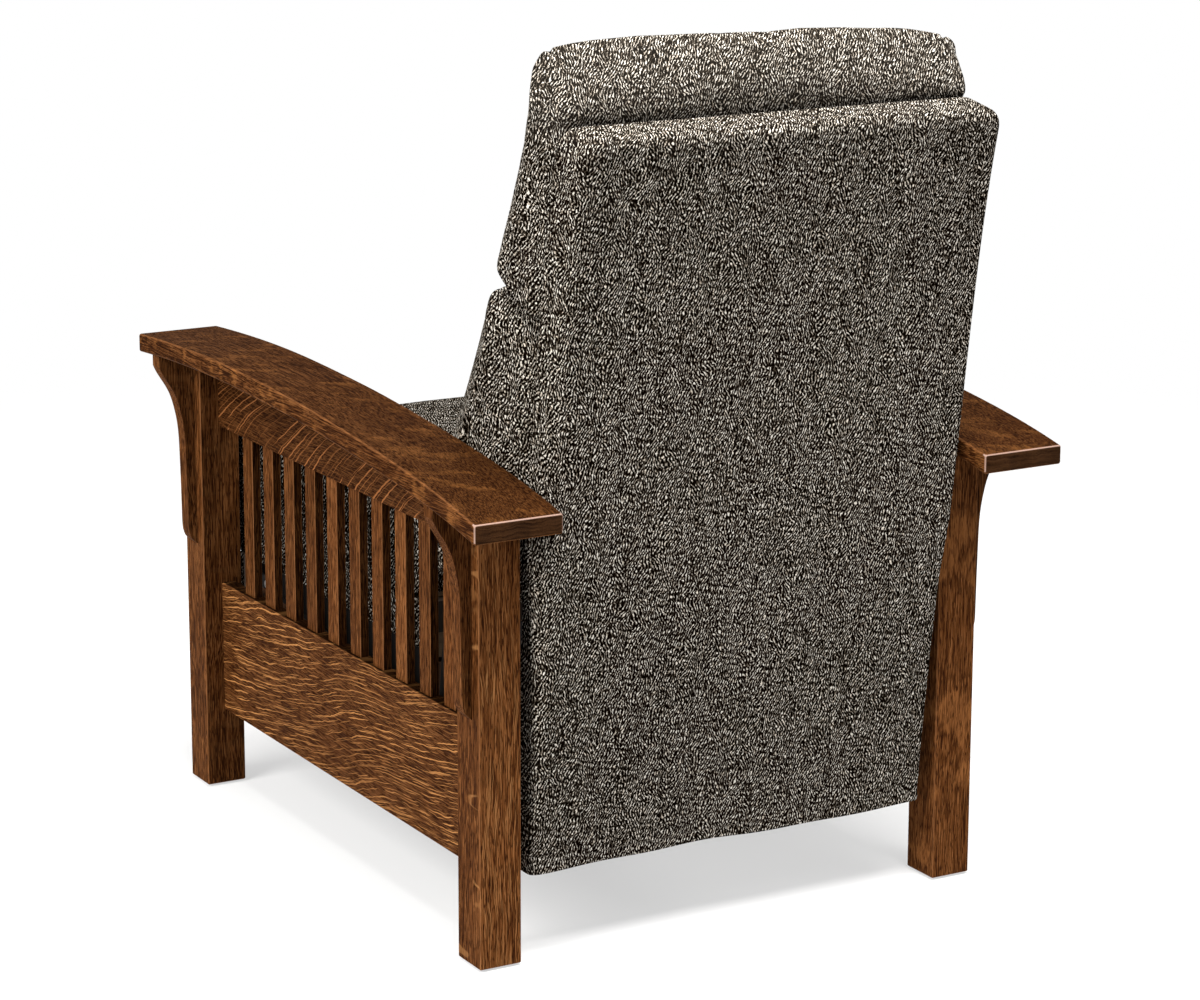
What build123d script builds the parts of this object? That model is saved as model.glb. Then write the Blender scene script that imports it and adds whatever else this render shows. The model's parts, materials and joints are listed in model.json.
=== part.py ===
from build123d import *
import os
from math import sin, cos, radians, hypot

# Mission style oak recliner with bowed arms, a reclining upholstered back,
# a seat on inclined steel tracks and a footrest on folding links.
# Millimetres.  +Z up, the sitter faces -Y, the sitter's left is +X.
# Lengths along Y are drawn from the middle of the four posts and shifted by
# Y_SHIFT on writing, so that the whole chair is centred on the origin.

# ---------------------------------------------------------------- wood side
POST = 56.0              # square posts
HALF_W = 354.0           # outer face of the posts from the middle plane
HALF_D = 425.0           # front and rear faces of the posts
GLIDE_T = 3.0            # nylon glide under each post
RAIL_OUT = 327.0         # outer face of the side rails
RAIL_IN = 307.0
RAIL_Z0, RAIL_Z1 = 108.0, 288.0
UPPER_Z0 = 507.0         # lower edge of the curved upper rail
SLAT_W, SLAT_T = 29.0, 12.0
SLAT_OUT = 322.0
SLAT_Y0, SLAT_PITCH, SLAT_N = -303.0, 64.2, 10
ARM_IN, ARM_OUT, ARM_T = 294.0, 409.0, 24.5
ARM_TOP = [(-443.0, 628.5), (-320.0, 635.0), (-190.0, 637.3), (-60.0, 634.5), (57.0, 629.5),
           (170.0, 621.5), (278.0, 612.0), (400.0, 597.8), (520.0, 576.5)]
CORBEL_T = 22.0
CORBEL = [(0.0, 0.0), (50.0, 0.0), (50.0, -15.0), (45.5, -25.0), (37.5, -38.0), (28.0, -55.0), (21.5, -75.0),
          (17.0, -98.0), (14.5, -140.0), (13.5, -190.0), (13.0, -233.0), (12.0, -246.0), (8.5, -256.0), (0.0, -264.0)]

# ---------------------------------------------------------------- mechanism
TRACK_SLOPE = 5.0        # degrees, the seat rises as it slides forward
TRACK_Z = 240.0          # track centre line height at y = 0
SEAT_TRAVEL = 110.0
BACK_PIVOT = (230.0, 385.0)          # y, z
P1 = (-300.0, 270.0)                 # inner link pivot on the seat plate
P2 = (-256.53, 247.94)               # control link pivot on the seat plate
LINK_L, LINK_EXT, LINK_W, LINK_T = 155.0, 25.0, 22.0, 3.0
LINK_A0, LINK_B0 = -68.0, 92.0       # rest angles of inner and outer link, forward = 0, up = 90
PIN_R, RUN = 4.0, 0.05

# ---------------------------------------------------------------- upholstery
BACK_X = 284.0
BACK_REAR = [(416.0, 107.0), (427.0, 188.0), (446.0, 342.0), (466.0, 470.0), (490.0, 639.0),
             (512.0, 796.0), (535.0, 929.0), (550.0, 985.0)]
BACK_TOP_FRONT = (497.0, 1011.0)
BACK_TOP_REAR = (546.0, 1001.0)
BACK_DEPTH = 62.0
SEAT_X = 288.0
SEAT_Z0, SEAT_Z1 = 376.5, 494.0
SEAT_Y0, SEAT_Y1 = -436.0, 138.0

Y_FRONT = min(ARM_TOP[0][0], SEAT_Y0)
Y_REAR = BACK_REAR[-1][0]
Y_SHIFT = -(Y_FRONT + Y_REAR) / 2

os.makedirs("parts", exist_ok=True)


def block(x0, x1, y0, y1, z0, z1):
    return Pos((x0 + x1) / 2, (y0 + y1) / 2, (z0 + z1) / 2) * Box(x1 - x0, y1 - y0, z1 - z0)


def prism(pts, x0, x1):
    """Outline of (y, z) points, extruded from x0 to x1."""
    return extrude(Plane.YZ.offset(x0) * make_face(Polyline(*pts, close=True)), x1 - x0)


def rod(x0, x1, y, z, r):
    """Round bar along X."""
    return extrude(Plane.YZ.offset(x0) * (Pos(y, z) * Circle(r)), x1 - x0)


def flip(part):
    return mirror(part, about=Plane.YZ)


def put(name, *solids):
    flat = []
    for s in solids:
        flat += list(s.solids())
    shape = flat[0] if len(flat) == 1 else Compound(flat)
    export_step(Pos(0, Y_SHIFT, 0) * shape, "parts/%s.step" % name)


def pair(name, left):
    """The same piece on the sitter's left (+X) and right."""
    put(name + "_left", left)
    put(name + "_right", flip(left))


def eased(part, r, axis=None):
    edges = part.edges() if axis is None else part.edges().filter_by(axis)
    return fillet(edges, r)


# ------------------------------------------------------------ arms and what is cut to them
arm_bottom = [(y, z - ARM_T) for y, z in ARM_TOP]
top_line = Spline(*[(y, z) for y, z in ARM_TOP])
low_line = Spline(*[(y, z) for y, z in arm_bottom])
arm_face = make_face([top_line, Line(ARM_TOP[-1], arm_bottom[-1]), low_line, Line(arm_bottom[0], ARM_TOP[0])])
arm = extrude(Plane.YZ.offset(ARM_IN) * arm_face, ARM_OUT - ARM_IN)
arm = fillet(arm.edges(), 3.0)
far = make_face([low_line, Line(arm_bottom[-1], (560.0, 545.0)), Line((560.0, 545.0), (560.0, 900.0)),
                 Line((560.0, 900.0), (-480.0, 900.0)), Line((-480.0, 900.0), arm_bottom[0])])
above = extrude(Plane.YZ.offset(ARM_IN - 20) * far, 200.0)   # everything over the arm's underside


def arm_under(y):
    for (ya, za), (yb, zb) in zip(arm_bottom, arm_bottom[1:]):
        if ya <= y <= yb:
            return za + (zb - za) * (y - ya) / (yb - ya)


dowels = []
post_parts = {}
for tag, y0 in (("front", -HALF_D), ("rear", HALF_D - POST)):
    p = block(HALF_W - POST, HALF_W, y0, y0 + POST, GLIDE_T, 700.0)
    p = fillet(p.edges().filter_by(Axis.Z), 2.0)
    p = chamfer(p.faces().sort_by(Axis.Z)[0].edges(), 1.4)
    p = p - above
    yc, xc = y0 + POST / 2, HALF_W - POST / 2
    zt = arm_under(yc)
    d = extrude(Plane.XY.offset(zt - 32) * (Pos(xc, yc) * Circle(6.0)), 46.0)
    dowels += [d, flip(d)]
    post_parts[tag] = p - d
    arm = arm - d
    pair("post_" + tag, post_parts[tag])
    # corbel on the outer face of the post, cut to the arm's underside
    prof = [(HALF_W + dx, zt + dz) for dx, dz in CORBEL]
    upper = Spline(*prof[2:13])
    face = make_face([Line((HALF_W, zt + 20), (HALF_W + 50, zt + 20)), Line((HALF_W + 50, zt + 20), prof[2]), upper,
                      Line(prof[12], prof[13]), Line(prof[13], (HALF_W, zt + 20))])
    c = extrude(Plane.XZ.offset(-(yc + CORBEL_T / 2)) * face, CORBEL_T) - above
    pair("corbel_" + tag, c)
pair("arm", arm)
put("arm_dowels", *dowels)

glides = []
for sx in (-1, 1):
    for y in (-HALF_D + POST / 2, HALF_D - POST / 2):
        glides.append(extrude(Plane.XY * (Pos(sx * (HALF_W - POST / 2), y) * Circle(15.0)), GLIDE_T))
put("floor_glides", *glides)

# ------------------------------------------------------------ side rails and slats
y_in = HALF_D - POST
screw_y = (-250.0, -60.0, 90.0)
slope = radians(TRACK_SLOPE)


def track_z(y):
    return TRACK_Z - y * sin(slope) / cos(slope)


screws = []
for y in screw_y + (225.0,):
    z = track_z(y) + (0 if y < 200 else -2)
    s = rod(279.5 if y > 200 else 284.0, 286.8, y, z, 5.0) + rod(286.8, 319.0, y, z, 2.4)
    if y > 200:
        s = rod(280.0, 283.0, y, z, 5.0) + rod(283.0, 319.0, y, z, 2.4)
    else:
        s = rod(282.6, 284.5, y, z, 4.5) + rod(284.5, 319.0, y, z, 2.4)
    screws.append(s)

lower = block(RAIL_IN, RAIL_OUT, -y_in, y_in, RAIL_Z0, RAIL_Z1)
lower = chamfer(lower.edges().filter_by(Axis.Y), 1.2)
for y in screw_y + (225.0,):
    lower = lower - rod(280.0, 319.0, y, track_z(y) + (0 if y < 200 else -2), 2.4)
upper = block(RAIL_IN, RAIL_OUT, -y_in, y_in, UPPER_Z0, 700.0) - above
pair("lower_side_rail", lower)
pair("upper_side_rail", upper)
slats = []
for i in range(SLAT_N):
    ys = SLAT_Y0 + SLAT_PITCH * i
    s = block(SLAT_OUT - SLAT_T, SLAT_OUT, ys, ys + SLAT_W, RAIL_Z1, UPPER_Z0)
    slats.append(chamfer(s.edges().filter_by(Axis.Z), 0.8))
put("slats_left", *slats)
put("slats_right", *[flip(s) for s in slats])

# cross rails that tie the two sides
put("front_stretcher", block(-RAIL_IN, RAIL_IN, -262.0, -240.0, 110.0, 170.0))
put("middle_stretcher", block(-RAIL_IN, RAIL_IN, 140.0, 162.0, 110.0, 170.0))

# ------------------------------------------------------------ mounting cleats, tracks, back pivot plates
def along(y0, y1, up0, up1):
    """Parallelogram that follows the track's slope between y0 and y1."""
    return [(y0, track_z(y0) + up0), (y1, track_z(y1) + up0), (y1, track_z(y1) + up1), (y0, track_z(y0) + up1)]


cleat = prism(along(-330.0, 262.0, -18.0, 18.0), 287.0, RAIL_IN)
track = prism(along(-330.0, 180.0, -15.0, 15.0), 275.0, 287.0) - prism(along(-340.0, 190.0, -12.5, 12.5), 274.0, 284.5)
plate = prism([(192.0, 204.0), (260.0, 204.0), (260.0, 250.0), (249.0, 385.0), (230.0, 403.0), (211.0, 385.0),
               (192.0, 250.0)], 283.0, 287.0)
plate = fillet(plate.edges().filter_by(Axis.X), 6.0)
plate = plate - rod(282.0, 288.0, BACK_PIVOT[0], BACK_PIVOT[1], 6.0 + RUN)
for y in screw_y + (225.0,):
    hole = rod(280.0, 319.0, y, track_z(y) + (0 if y < 200 else -2), 2.4)
    cleat, track, plate = cleat - hole, track - hole, plate - hole
pair("mounting_cleat", cleat)
pair("seat_track", track)
pair("back_pivot_plate", plate)
put("track_screws", *(screws + [flip(s) for s in screws]))

# ------------------------------------------------------------ seat body
side = prism([(-330.0, 372.0), (138.0, 372.0), (152.0, 360.0), (152.0, 214.0), (104.0, 214.0), (88.0, 240.0),
              (-128.0, 258.0), (-150.0, 242.0), (-190.0, 242.0), (-206.0, 236.0), (-240.0, 232.0), (-275.0, 234.0),
              (-318.0, 256.0), (-330.0, 290.0)], 269.0, 272.0)
pins = []
for (y, z), inner in ((P1, 264.8), (P2, 256.4)):
    side = side - rod(268.0, 273.0, y, z, PIN_R)
    pins.append(rod(inner, 272.0, y, z, PIN_R) + rod(272.0, 273.6, y, z, 7.0) + rod(inner - 1.2, inner, y, z, 6.5))
pins += [flip(p) for p in pins]
pair("seat_side_plate", side)
put("seat_link_pins", *pins)
shoes = []
for y in (-170.0, 128.0):
    s = prism(along(y - 25.0, y + 25.0, -12.2, 12.2), 272.0, 281.8)
    shoes += [s, flip(s)]
put("seat_glide_shoes", *shoes)

FR_Z0, FR_Z1 = 335.0, 375.0
pair("seat_side_rail", block(247.0, 269.0, -425.0, 138.0, FR_Z0, FR_Z1))
put("seat_cross_rails", block(-247.0, 247.0, -425.0, -403.0, FR_Z0, FR_Z1),
    block(-247.0, 247.0, 116.0, 138.0, FR_Z0, FR_Z1))


def sinuous(length, amp, pitch, w):
    """Flat outline of a zigzag spring, its path along local X with U turns of half width amp."""
    path, n = [(0.0, 0.0)], int(length // pitch)
    step = length / n
    for i in range(n):
        s = 1 if i % 2 else -1
        x0 = i * step
        for fx, fy in ((0.18, 0.55), (0.25, 0.88), (0.5, 1.0), (0.75, 0.88), (0.82, 0.55)):
            path.append((x0 + fx * step, s * amp * fy))
        if i < n - 1:
            path.append((x0 + step, 0.0))
    path.append((length, 0.0))
    left, right = [], []
    for i, (x, y) in enumerate(path):
        a, b = path[max(i - 1, 0)], path[min(i + 1, len(path) - 1)]
        dx, dy = b[0] - a[0], b[1] - a[1]
        k = w / 2 / hypot(dx, dy)
        left.append((x - dy * k, y + dx * k))
        right.append((x + dy * k, y - dx * k))
    return make_face(Polyline(*(left + right[::-1]), close=True))


seat_spring = sinuous(514.0, 20.0, 26.0, 3.4)
springs = []
for i in range(5):
    x = -192.0 + 96.0 * i
    pl = Plane(origin=(x, -400.5, 366.0), x_dir=(0, 1, 0), z_dir=(0, 0, 1))
    springs.append(extrude(pl * seat_spring, 3.4))
put("seat_springs", *springs)

cush = prism([(SEAT_Y0 + 3, SEAT_Z0), (SEAT_Y1, SEAT_Z0), (SEAT_Y1, SEAT_Z1 - 14), (SEAT_Y1 - 16, SEAT_Z1 - 4),
              (-150.0, SEAT_Z1 + 2), (-330.0, SEAT_Z1 + 6), (-398.0, SEAT_Z1 + 4), (-425.0, SEAT_Z1 - 8),
              (SEAT_Y0, SEAT_Z1 - 32)], -SEAT_X, SEAT_X)
cush = fillet(cush.edges().filter_by(Axis.X), 6.0)
put("seat_cushion", cush)

# ------------------------------------------------------------ footrest links
def pt(base, ang, dist):
    return (base[0] - dist * cos(radians(ang)), base[1] + dist * sin(radians(ang)))


def bar(a, b, x0, x1, holes=(), w=LINK_W):
    """Flat link with round ends between two (y, z) points."""
    dy, dz = b[0] - a[0], b[1] - a[1]
    k = w / 2 / hypot(dy, dz)
    ny, nz = -dz * k, dy * k
    s = prism([(a[0] + ny, a[1] + nz), (b[0] + ny, b[1] + nz), (b[0] - ny, b[1] - nz), (a[0] - ny, a[1] - nz)], x0, x1)
    s = s + rod(x0, x1, a[0], a[1], w / 2) + rod(x0, x1, b[0], b[1], w / 2)
    for (y, z), r in holes:
        s = s - rod(x0 - 1, x1 + 1, y, z, r)
    return s


M = pt(P1, LINK_A0, LINK_L)
E = pt(M, LINK_B0, LINK_L)
N = pt(M, LINK_B0, -LINK_EXT)
pair("footrest_inner_link", bar(P1, M, 265.5, 268.5, ((P1, PIN_R + RUN), (M, PIN_R))))
m_pin = rod(261.2, 268.9, M[0], M[1], PIN_R) + rod(268.5, 268.9, M[0], M[1], 6.0)
put("middle_link_pins", m_pin, flip(m_pin))
pair("footrest_outer_link", bar(N, E, 261.5, 264.5, ((M, PIN_R + RUN), (E, PIN_R + RUN), (N, PIN_R))))
# the far end of the control link is the open pivot: its pin is on the control link's own side only
ctrl = bar(P2, N, 257.5, 260.5, ((P2, PIN_R + RUN),), 20.0)
ctrl = ctrl + rod(256.0, 257.5, N[0], N[1], 6.0)
pair("footrest_control_link", ctrl)

FOOT_Z0, FOOT_Z1 = 115.0, 318.0
BOARD_Y0, BOARD_Y1 = -410.0, -398.0
put("footrest_board", block(-276.0, 276.0, BOARD_Y0, BOARD_Y1, FOOT_Z0 + 3, FOOT_Z1 - 3))
pad = prism([(BOARD_Y0 - 0.3, FOOT_Z0), (-432.0, FOOT_Z0 + 2), (-436.0, FOOT_Z0 + 14), (-437.0, (FOOT_Z0 + FOOT_Z1) / 2),
             (-436.0, FOOT_Z1 - 12), (-432.0, FOOT_Z1), (BOARD_Y0 - 0.3, FOOT_Z1 + 2)], -281.0, 281.0)
put("footrest_pad", pad)
br = bar(E, (BOARD_Y1 + 12.0, E[1]), 265.5, 268.5, (), 24.0)
br = br + block(265.5, 268.5, BOARD_Y1, BOARD_Y1 + 20.0, E[1] - 24.0, E[1] + 24.0)
br = br & block(260.0, 275.0, BOARD_Y1, -300.0, 200.0, 340.0)
br = br + block(236.0, 268.5, BOARD_Y1, BOARD_Y1 + 3.0, E[1] - 24.0, E[1] + 24.0)
br = br - rod(264.0, 270.0, E[0], E[1], PIN_R)
pair("footrest_bracket", br)
e_pin = rod(261.0, 268.5, E[0], E[1], PIN_R) + rod(259.8, 261.0, E[0], E[1], 6.5) + rod(268.5, 268.9, E[0], E[1], 6.0)
put("footrest_bracket_pins", e_pin, flip(e_pin))

# ------------------------------------------------------------ back body
def rear(z):
    pts = BACK_REAR
    for (ya, za), (yb, zb) in zip(pts, pts[1:]):
        if z <= zb:
            return ya + (yb - ya) * (z - za) / (zb - za)
    return pts[-1][0]


def back_strip(z0, z1, r0, r1, n=8):
    """(y, z) outline of a slice of the back between depths r0 and r1 in front of the rear surface."""
    zs = [z0 + (z1 - z0) * i / n for i in range(n + 1)]
    return [(rear(z) - r0, z) for z in zs] + [(rear(z) - r1, z) for z in reversed(zs)]


BZ0 = 360.0
outer = back_strip(BZ0, 985.0, 0.0, BACK_DEPTH, 10)
k = 11
outer = outer[:k] + [BACK_TOP_REAR, BACK_TOP_FRONT] + outer[k:]
shell = prism(outer, -BACK_X, BACK_X)
hollow = back_strip(BZ0 - 20, 976.0, 6.0, BACK_DEPTH + 20, 10)
shell = shell - prism(hollow, -BACK_X + 6.0, BACK_X - 6.0)
put("outside_back_cover", shell)
put("back_flap", prism(back_strip(107.0, BZ0 - 0.5, 0.0, 6.0, 6), -BACK_X + 1, BACK_X - 1))

stile = prism(back_strip(BZ0 + 6, 970.0, 14.0, 50.0, 8), 240.0, 262.0)
pair("back_stile", stile)
rails = [prism(back_strip(z, z + 42.0, 16.0, 38.0, 1), -240.0, 240.0) for z in (BZ0 + 14, 640.0, 922.0)]
put("back_cross_rails", *rails)


def slanted(z0, z1, depth):
    """Plane on the back's slope, local X up the back, local Y along the chair's width."""
    a = Vector(0, rear(z0) - depth, z0)
    b = Vector(0, rear(z1) - depth, z1)
    d = (b - a).normalized()
    return Plane(origin=a, x_dir=d, z_dir=Vector(1, 0, 0).cross(d)), (b - a).length


b_springs = []
for z0, z1 in ((BZ0 + 57, 639.0), (683.0, 921.0)):
    pl, ln = slanted(z0, z1, 42.0)
    wire = sinuous(ln, 20.0, 26.0, 3.4)
    for x in (-160.0, -80.0, 0.0, 80.0, 160.0):
        b_springs.append(Pos(x, 0, 0) * extrude(pl * wire, 3.4))
put("back_springs", *b_springs)

BY, BZ = BACK_PIVOT
strap = prism([(BY - 15, BZ - 6), (BY - 6, BZ - 15), (BY + 6, BZ - 16), (408.0, 366.0), (432.0, 366.0), (443.0, 400.0),
               (449.0, 520.0), (424.0, 520.0), (414.0, 424.0), (400.0, 408.0), (BY + 6, BZ + 16), (BY - 6, BZ + 15),
               (BY - 15, BZ + 6)], 262.0, 266.0)
strap = strap - rod(260.0, 268.0, BY, BZ, 6.0)
pair("back_bracket", strap)
bolt = rod(258.0, 288.6, BY, BZ, 6.0) + rod(255.0, 258.0, BY, BZ, 10.0)
bush = rod(266.0, 282.6, BY, BZ, 10.0) - rod(265.0, 284.0, BY, BZ, 6.0)
put("back_pivot_bolts", bolt, flip(bolt))
put("back_pivot_spacers", bush, flip(bush))


def front(z):
    return rear(z) - BACK_DEPTH - 0.6


# the two cushions part on a slope that falls to the rear
lum = [(front(z), z) for z in (767.0, 700.0, 639.0, 550.0, 470.0, 415.0)]
lum += [(178.0, 415.0), (160.0, 424.0), (150.0, 450.0), (152.0, 492.0), (176.0, 545.0), (206.0, 600.0), (240.0, 659.0),
        (276.0, 722.0), (302.0, 770.0), (314.0, 793.0), (324.0, 804.0), (338.0, 811.5), (350.0, 808.5)]
put("lower_back_cushion", prism(lum, -BACK_X + 3, BACK_X - 3))
head = [(486.0, 1013.6), (front(985.0) - 1.0, 1008.0), (front(985.0), 985.0), (front(929.0), 929.0), (front(837.0), 837.0),
        (front(769.0), 769.0), (351.0, 810.0), (338.0, 816.0), (330.0, 828.0), (334.0, 848.0), (345.0, 870.0),
        (360.0, 901.0), (375.0, 935.0), (391.0, 972.0), (406.0, 1009.0), (416.0, 1038.0), (424.0, 1065.0),
        (432.0, 1082.0), (444.0, 1093.0), (458.0, 1097.5), (471.0, 1094.0), (482.0, 1076.0), (487.0, 1044.0)]
put("head_cushion", prism(head, -BACK_X + 1, BACK_X - 1))
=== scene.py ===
import json
from math import sin, cos, pi, radians, sqrt, hypot, exp

import bpy, bmesh
import numpy as np
from mathutils import Vector, Matrix


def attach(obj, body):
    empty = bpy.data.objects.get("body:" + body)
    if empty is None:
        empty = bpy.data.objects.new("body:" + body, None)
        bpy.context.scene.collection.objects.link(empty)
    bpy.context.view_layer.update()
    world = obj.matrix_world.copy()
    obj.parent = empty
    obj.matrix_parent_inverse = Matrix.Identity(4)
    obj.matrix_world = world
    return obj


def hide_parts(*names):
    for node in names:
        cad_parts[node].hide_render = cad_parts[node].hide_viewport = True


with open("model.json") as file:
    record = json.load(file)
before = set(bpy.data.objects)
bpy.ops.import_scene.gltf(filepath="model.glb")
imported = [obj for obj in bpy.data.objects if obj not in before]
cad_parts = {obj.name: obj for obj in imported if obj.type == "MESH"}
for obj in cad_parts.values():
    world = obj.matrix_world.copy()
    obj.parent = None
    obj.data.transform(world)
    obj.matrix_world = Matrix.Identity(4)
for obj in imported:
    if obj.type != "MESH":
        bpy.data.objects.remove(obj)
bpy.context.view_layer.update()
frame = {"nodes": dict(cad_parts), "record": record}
nodes = frame["nodes"]
scene = bpy.context.scene
YS = -0.0535                                   # lengths along Y are drawn from the middle of the posts


# ============================================================ camera, light, floor
def stage():
    cam = bpy.data.cameras.new("camera")
    cam.sensor_fit = "HORIZONTAL"
    cam.sensor_width = 36.0
    cam.lens = 3582.63 * 36.0 / 1200.0
    cam.shift_x = (600 - 560) / 1200.0
    cam.shift_y = (440 - 500) / 1200.0
    cam.clip_end = 50.0
    o = bpy.data.objects.new("camera", cam)
    scene.collection.objects.link(o)
    a, e = radians(150.70), radians(13.02)
    back = Vector((sin(a) * cos(e), -cos(a) * cos(e), sin(e)))
    right = Vector((cos(a), sin(a), 0.0))
    up = back.cross(right)
    m = Matrix((right, up, back)).transposed().to_4x4()
    m.translation = Vector((2.22982, 3.90773, 1.57559))
    o.matrix_world = m
    scene.camera = o

    me = bpy.data.meshes.new("floor")
    s = 3.6
    me.from_pydata([(-s, -s, 0), (s, -s, 0), (s, s, 0), (-s, s, 0)], [], [(0, 1, 2, 3)])
    floor = bpy.data.objects.new("floor", me)
    scene.collection.objects.link(floor)
    mat = bpy.data.materials.new("floor_white")
    mat.use_nodes = True
    t = mat.node_tree
    b = t.nodes["Principled BSDF"]
    b.inputs["Base Color"].default_value = (0.42, 0.42, 0.42, 1)
    b.inputs["Roughness"].default_value = 0.9
    b.inputs["Specular IOR Level"].default_value = 0.0
    b.inputs["Emission Color"].default_value = (1, 1, 1, 1)
    b.inputs["Emission Strength"].default_value = 0.56
    # the floor runs out softly into the white studio
    tc = t.nodes.new("ShaderNodeTexCoord")
    ln = t.nodes.new("ShaderNodeVectorMath")
    ln.operation = "LENGTH"
    t.links.new(tc.outputs["Object"], ln.inputs[0])
    fade = t.nodes.new("ShaderNodeMapRange")
    fade.interpolation_type = "SMOOTHSTEP"
    for i, v in ((1, 1.1), (2, 3.2), (3, 1.0), (4, 0.0)):
        fade.inputs[i].default_value = v
    t.links.new(ln.outputs["Value"], fade.inputs[0])
    t.links.new(fade.outputs[0], b.inputs["Alpha"])
    ray = t.nodes.new("ShaderNodeLightPath")
    glow = t.nodes.new("ShaderNodeMapRange")
    for i, v in ((1, 0.0), (2, 1.0), (3, 0.26), (4, 0.56)):
        glow.inputs[i].default_value = v
    t.links.new(ray.outputs["Is Camera Ray"], glow.inputs[0])
    t.links.new(glow.outputs[0], b.inputs["Emission Strength"])
    me.materials.append(mat)

    w = bpy.data.worlds.new("studio")
    scene.world = w
    w.use_nodes = True
    t = w.node_tree
    t.nodes.clear()
    out = t.nodes.new("ShaderNodeOutputWorld")
    mixer = t.nodes.new("ShaderNodeMixShader")
    path = t.nodes.new("ShaderNodeLightPath")
    soft = t.nodes.new("ShaderNodeBackground")
    soft.inputs[0].default_value = (1.0, 0.985, 0.965, 1)
    soft.inputs[1].default_value = 0.35
    seen = t.nodes.new("ShaderNodeBackground")
    seen.inputs[0].default_value = (1, 1, 1, 1)
    seen.inputs[1].default_value = 1.0
    t.links.new(path.outputs["Is Camera Ray"], mixer.inputs[0])
    t.links.new(soft.outputs[0], mixer.inputs[1])
    t.links.new(seen.outputs[0], mixer.inputs[2])
    t.links.new(mixer.outputs[0], out.inputs[0])

    def area(name, loc, aim, size, watts, col=(1, 1, 1)):
        l = bpy.data.lights.new(name, "AREA")
        l.shape = "RECTANGLE"
        l.size, l.size_y = size
        l.energy = watts
        l.color = col
        ob = bpy.data.objects.new(name, l)
        scene.collection.objects.link(ob)
        ob.location = loc
        ob.rotation_mode = "QUATERNION"
        ob.rotation_quaternion = (Vector(aim) - Vector(loc)).to_track_quat("-Z", "Y")
        return ob

    area("key", (3.8, 0.7, 2.8), (0, 0, 0.5), (2.4, 2.2), 225, (1.0, 0.985, 0.96))
    area("top", (0.1, 1.5, 4.2), (0, 0, 0.5), (2.6, 2.2), 340, (1.0, 0.99, 0.975))
    area("rear_fill", (-1.2, 4.6, 1.9), (0, 0, 0.5), (2.6, 2.2), 24)
    v = scene.view_settings
    v.view_transform = "Standard"
    v.look = "None"
    v.exposure = 0.0
    v.gamma = 1.0


stage()


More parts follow.
